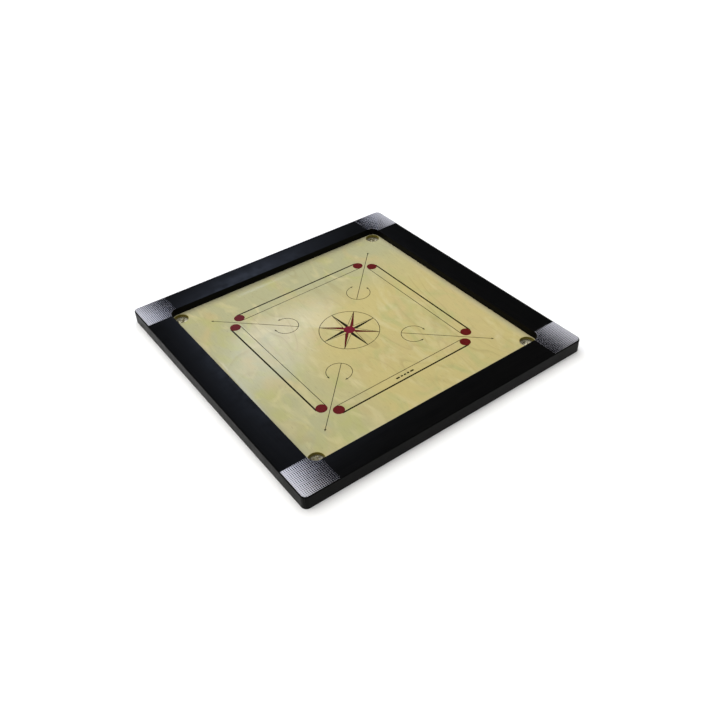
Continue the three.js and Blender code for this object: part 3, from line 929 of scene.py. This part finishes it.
def star_parts(first_angle):
    """Four star points a quarter turn apart: the filled clockwise halves, then all outlines."""
    clockwise, anticlockwise = first_angle - STAR_HALF_STEP, first_angle + STAR_HALF_STEP
    start = polar(STAR_ROOT_RADIUS, first_angle)
    tip = polar(STAR_TIP_RADIUS, first_angle)
    waist = polar(STAR_WAIST_RADIUS, clockwise)
    far_waist = polar(STAR_WAIST_RADIUS, anticlockwise)
    filled = [start, polar(STAR_ROOT_RADIUS, clockwise), waist, tip]
    fills = [ink_shape(outline, INK_HEIGHT / 2) for outline in quarter_turns(filled)]
    edges = (((start, tip), STAR_OUTLINE), ((waist, tip), STAR_OUTLINE), ((tip, far_waist), STAR_FAR_OUTLINE))
    lines = [ink_stroke(line, width) for edge, width in edges for line in quarter_turns(edge)]
    return fills, lines


def ornament_parts():
    """A plain broken band of long hexagons between the south side's base lines."""
    y = -BASE_CIRCLE_ACROSS
    x = -(sum(ORNAMENT_LENGTHS) + ORNAMENT_GAP * (len(ORNAMENT_LENGTHS) - 1)) / 2
    low, high = y - ORNAMENT_HALF_HEIGHT, y + ORNAMENT_HALF_HEIGHT
    bevel = ORNAMENT_HALF_HEIGHT * 0.6
    parts = []
    for length in ORNAMENT_LENGTHS:
        end = x + length
        outline = [(x, y), (x + bevel, low), (end - bevel, low)]
        outline += [(end, y), (end - bevel, high), (x + bevel, high)]
        parts.append(ink_shape(outline))
        x = end + ORNAMENT_GAP
    return parts


def build_print(black, red, crimson):
    ring = ink_stroke(circle(0, 0, CENTRE_RING_RADIUS, 144), HAIRLINE, closed=True)
    disc = ink_shape(circle(0, 0, CENTRE_DISC_RADIUS, 64), INK_HEIGHT)
    print_on_sheet("print_base_lines", base_line_parts(), black)
    print_on_sheet("print_base_circles", base_circle_parts(), red)
    print_on_sheet("print_corner_arrows", corner_arrow_parts(), black)
    print_on_sheet("print_centre_ring", [ring], black)
    black_fills, black_lines = star_parts(0)
    red_fills, red_lines = star_parts(45)
    print_on_sheet("print_star_red", red_fills, red)
    print_on_sheet("print_star_black", black_fills + black_lines + red_lines, black)
    print_on_sheet("print_centre_disc", [disc], crimson)
    print_on_sheet("print_ornament", ornament_parts(), black)


# -------- pocket nets


def net_profile(share):
    """Radius and height of the net from its rim, share 0, to its gathered middle, share 1."""
    spans = zip(NET_PATH, NET_PATH[1:])
    (s0, r0, z0), (s1, r1, z1) = next(span for span in spans if share <= span[1][0])
    t = (share - s0) / (s1 - s0)
    return (r0 + (r1 - r0) * t) * MM, (z0 + (z1 - z0) * t) * MM


def net_point(angle, share, seed, lift=0.0):
    """A point of the slack net: away from the rim it is bunched into low folds."""
    radius, height = net_profile(share)
    flat = Vector((radius * math.cos(angle), radius * math.sin(angle), 0.0))
    probe = Vector((flat.x, flat.y, seed * MM)) / NET_FOLD_SIZE
    slack = min(1.0, share * NET_SLACKENING)
    broad = probe * NET_DRIFT_SCALE
    drift_x, drift_y = (noise.noise(broad + place) * NET_DRIFT * slack for place in NET_DRIFT_PLACES)
    fold = noise.noise(probe) * NET_FOLD_DEPTH * slack
    lowest, highest = NET_LOW.z + TWINE_RADIUS, NET_HIGH.z - TWINE_RADIUS
    z = min(highest, max(lowest, height + lift + fold))
    return Vector((POCKET + flat.x + drift_x, POCKET + flat.y + drift_y, z))


def net_strand(index, direction, seed):
    """One twine from the rim to the middle, slanting so that it crosses the other family."""
    step = 2 * math.pi / NET_STRANDS
    slant = direction * step * NET_ROWS / 2
    steps = NET_ROWS * 6
    points = []
    for k in range(steps + 1):
        share = k / steps
        between_knots = math.sin(math.pi * share * NET_ROWS) ** 2
        lift = direction * CROSSING_LIFT * between_knots
        points.append(net_point(index * step + slant * share, share, seed, lift))
    return points


def knot(centre, radius):
    """A small squat knot."""
    profile = [(0, -radius * 0.8), (radius * 0.8, -radius * 0.5), (radius, 0.0)]
    profile += [(radius * 0.8, radius * 0.5), (0, radius * 0.8)]
    verts, faces = turned(profile, 8)
    return [tuple(Vector(v) + centre) for v in verts], faces


def build_net(corner, turn, material):
    """A knotted net: a rim cord, two families of crossing twines, knots and a gathered middle."""
    seed = turn * NET_SEED_STEP
    rim = [net_point(2 * math.pi * k / 72, 0, seed) for k in range(72)]
    parts = [tube(rim, RIM_CORD_RADIUS, sides=8, closed=True)]
    step = 2 * math.pi / NET_STRANDS
    for index in range(NET_STRANDS):
        for direction in (-1, 1):
            parts.append(tube(net_strand(index, direction, seed), TWINE_RADIUS))
        for row in range(1, NET_ROWS):
            share = row / NET_ROWS
            angle = (index + 0.5 * (row % 2)) * step
            parts.append(knot(net_point(angle, share, seed), KNOT_RADIUS))
    middle = [net_point(2 * math.pi * k / 24, 1, seed) for k in range(24)]
    parts.append(tube(middle, MIDDLE_CORD_RADIUS, sides=8, closed=True))
    net = make_piece(f"net_{corner}", joined(parts), [material])
    settle(net, f"pocket_net_{corner}", turn)


def build_ring(corner, turn, material):
    outer = (RING_HIGH.x - RING_LOW.x) / 2
    inner = outer - RING_WIDTH
    low, high = RING_LOW.z, RING_HIGH.z
    ease = 0.5 * MM
    profile = fillet([(inner, low), (outer, low), (outer, high), (inner, high)], [ease] * 4, 3)
    ring = make_piece(f"ring_{corner}", turned(profile, 72, POCKET, POCKET), [material])
    settle(ring, f"net_ring_{corner}", turn, tack_holes(TACK_NODES[corner]))


# -------- underside


def middle_of(node):
    low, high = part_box(node)
    return (low + high) / 2


def bar(low, high, arris):
    """A straight timber with eased edges all round, from its low and high corners."""
    outline = [(low.x, low.y), (high.x, low.y), (high.x, high.y), (low.x, high.y)]
    corner_radius = arris * 1.6  # more than the arris, so that the inset edges don't fold over
    rounded = fillet(outline, [corner_radius] * 4, 3)
    return slab(rounded, low.z, high.z, arris)


def build_strip(side, material):
    strip = make_piece(f"strip_{side}", bar(*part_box(f"sheet_strip_{side}"), 0.7 * MM), [material])
    settle(strip, f"sheet_strip_{side}", holes=screw_holes(SCREW_NODES[side]))


def build_batten(side, material):
    """A batten halved where the other pair crosses it, drawn along X and turned if it runs along Y."""
    low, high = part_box(f"batten_{side}")
    along_y = side in ("east", "west")
    width = high.x - low.x if along_y else high.y - low.y
    length = high.y if along_y else high.x
    offset = (low.x + high.x) / 2 if along_y else (low.y + high.y) / 2
    crossing = middle_of("batten_north").y
    clearance = 0.3 * MM
    notch = width / 2 + clearance
    lap = (low.z + high.z) / 2
    cuts = [-crossing - notch, -crossing + notch, crossing - notch, crossing + notch]
    near, far = (high.z, low.z) if along_y else (low.z, high.z)
    edge = [(-length, near)]
    for start, end in (cuts[:2], cuts[2:]):
        edge += [(start, near), (start, lap), (end, lap), (end, near)]
    edge += [(length, near), (length, far), (-length, far)]
    if along_y:
        edge.reverse()
    verts, faces = slab(edge, -width / 2, width / 2, 0.5 * MM, 2)
    if along_y:
        placed = [(offset + y, x, z) for x, z, y in verts]
    else:
        placed = [(x, offset + y, z) for x, z, y in verts]
    batten = make_piece(f"support_{side}", (placed, faces), [material])
    settle(batten, f"batten_{side}")


def screw_profile(length):
    """Half section of a countersunk screw that stands point up, with a ridged thread."""
    head, edge, shank = SCREW_HEAD_RADIUS, SCREW_HEAD_EDGE, 1.55 * MM
    root, crest = shank - 0.25 * MM, SCREW_CREST_RADIUS
    thread_start, thread_end, pitch = 9 * MM, length - 3 * MM, 1.4 * MM
    profile = [(0, 0.12 * MM), (head * 0.8, 0.05 * MM), (head - 0.1 * MM, 0.02 * MM), (head, 0.12 * MM)]
    profile += [(head, edge), (shank, edge + head - shank)]
    for k in range(int((thread_end - thread_start) / pitch)):
        z = thread_start + k * pitch
        profile += [(root, z), (crest, z + pitch * 0.45)]
    return profile + [(shank - 0.3 * MM, thread_end), (0, length)]


def recess_bar(half_x, half_y):
    """One bar of the screw's cross recess, tapering into the head."""
    loops = []
    for height, share in ((-1 * MM, 1.0), (0.2 * MM, 1.0), (1.4 * MM, 0.55)):
        x, y = half_x * share, half_y * share
        loops.append(raised([(-x, -y), (x, -y), (x, y), (-x, y)], height))
    return loft(loops)


def screw_mesh(material):
    """A countersunk cross-recess screw standing point up on the origin."""
    low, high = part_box("strip_screw_south_1")
    screw = make_piece("screw_master", turned(screw_profile(high.z - low.z), 32), [material])
    reach, blade = 2.0 * MM, 0.42 * MM
    cut_out(screw, [recess_bar(reach, blade), recess_bar(blade, reach)], crossing=True)
    mesh = screw.data
    bpy.data.objects.remove(screw)
    return mesh


def tack_mesh(material):
    """A domed tack standing point up on the origin."""
    head, rise, shank, length, point = 2.2 * MM, 0.8 * MM, TACK_SHANK_RADIUS, 8 * MM, 2 * MM
    dome, steps = rise * 0.75, 5
    angles = [math.pi / 2 * k / steps for k in range(1, steps + 1)]
    profile = [(0, 0)] + [(head * math.sin(a), dome * (1 - math.cos(a))) for a in angles]
    profile += [(head, rise * 0.9), (shank, rise), (shank, length - point), (0, length)]
    tack = make_piece("tack_master", turned(profile, 24), [material])
    mesh = tack.data
    bpy.data.objects.remove(tack)
    return mesh


def place_copies(mesh, nodes, prefix_from, prefix_to):
    """Stands a copy of one fastener in the place of each CAD node, each turned a little further."""
    spin_step = 0.7
    for index, node in enumerate(nodes):
        middle = middle_of(node)
        foot = Matrix.Translation((middle.x, middle.y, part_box(node)[0].z))
        copy = mesh.copy()
        copy.transform(foot @ Matrix.Rotation(index * spin_step, 4, "Z"))
        settle(add_object(node.replace(prefix_from, prefix_to), copy), node)


# -------- stage


def aimed(place, target):
    """Rotation that looks from a place to a target, for cameras and lamps."""
    return (Vector(target) - Vector(place)).to_track_quat("-Z", "Y")


def build_camera():
    camera = add_object("camera", bpy.data.cameras.new("camera"))
    camera.data.sensor_width = CAMERA_SENSOR
    camera.data.lens = CAMERA_LENS
    camera.data.clip_end = CAMERA_REACH
    rotation = aimed(CAMERA_PLACE, CAMERA_TARGET).to_matrix() @ Matrix.Rotation(CAMERA_ROLL, 3, "Z")
    camera.matrix_world = Matrix.Translation(CAMERA_PLACE) @ rotation.to_4x4()
    bpy.context.scene.camera = camera


def build_floor():
    half = FLOOR_HALF
    mesh = bpy.data.meshes.new("floor")
    corners = [(-half, -half, 0), (half, -half, 0), (half, half, 0), (-half, half, 0)]
    mesh.from_pydata(corners, [], [(0, 1, 2, 3)])
    shader = Shader("floor_white", Roughness=0.9, Specular_IOR_Level=0.1)
    colour = shader.mix(shader.noise((2, 2, 2)), *FLOOR_WHITE)
    mesh.materials.append(shader.finish(Base_Color=colour))
    add_object("floor", mesh)


def add_sun(name, direction, strength, spread):
    light = bpy.data.lights.new(name, "SUN")
    light.energy = strength
    light.angle = math.radians(spread)
    light.color = SUNLIGHT
    lamp = add_object(name, light)
    lamp.rotation_euler = aimed((0, 0, 0), direction).to_euler()
    lamp.visible_glossy = False


def add_window(power):
    """A tall pane whose reflection lies across the sheet's north-west part."""
    light = bpy.data.lights.new("window", "AREA")
    light.shape = "RECTANGLE"
    light.size, light.size_y = WINDOW_SIZE
    light.energy = power
    light.color = SKYLIGHT
    lamp = add_object("window", light)
    lamp.location = WINDOW_PLACE
    lamp.rotation_euler = aimed(WINDOW_PLACE, WINDOW_TARGET).to_euler()


def build_lights():
    world = bpy.data.worlds.new("studio")
    world.use_nodes = True
    background = world.node_tree.nodes["Background"]
    background.inputs["Color"].default_value = (0.90, 0.95, 1.0, 1)
    background.inputs["Strength"].default_value = 0.06
    bpy.context.scene.world = world
    add_sun("key", (0.06, -0.38, -1.0), strength=3.25, spread=84)
    add_sun("fill", (0.30, 0.45, -1.0), strength=0.75, spread=110)
    add_window(power=15.0)
    bpy.context.scene.view_settings.view_transform = "Standard"


# -------- assembly

build_camera()
build_floor()
build_lights()

lacquers = [black_lacquer_material(f"black_lacquer_{axis}", axis == "x") for axis in "xy"]
foil = foil_material()
ink_black = ink_material("ink_black", INK_BLACK)
ink_red = ink_material("ink_red", INK_RED)
ink_crimson = ink_material("ink_crimson", INK_CRIMSON)
check_black = ink_material("check_black", CHECK_BLACK, roughness=0.40)
cotton = cotton_material()
pines = [timber_material(f"pine_{axis}", axis == "x", PINE) for axis in "xy"]
ring_wood = timber_material("ring_wood", True, RING_WOOD)
steel = steel_material()

for turn, side in enumerate(SIDES):
    build_rail(side, turn, lacquers[turn % 2])
    build_strip(side, pines[turn % 2])
    build_batten(side, pines[turn % 2])

for turn, (corner, signs) in enumerate(CORNERS.items()):
    build_corner_block(corner, turn, lacquers[0])
    build_patch(corner, signs, foil, check_black)
    build_net(corner, turn, cotton)
    build_ring(corner, turn, ring_wood)
    finish_spline(corner, ring_wood)

build_sheet(playing_surface_material(), plywood_edge_material(), raw_birch_material())
build_print(ink_black, ink_red, ink_crimson)

place_copies(screw_mesh(steel), sum(SCREW_NODES.values(), []), "strip_screw", "screw")
place_copies(tack_mesh(steel), sum(TACK_NODES.values(), []), "net_tack", "tack")
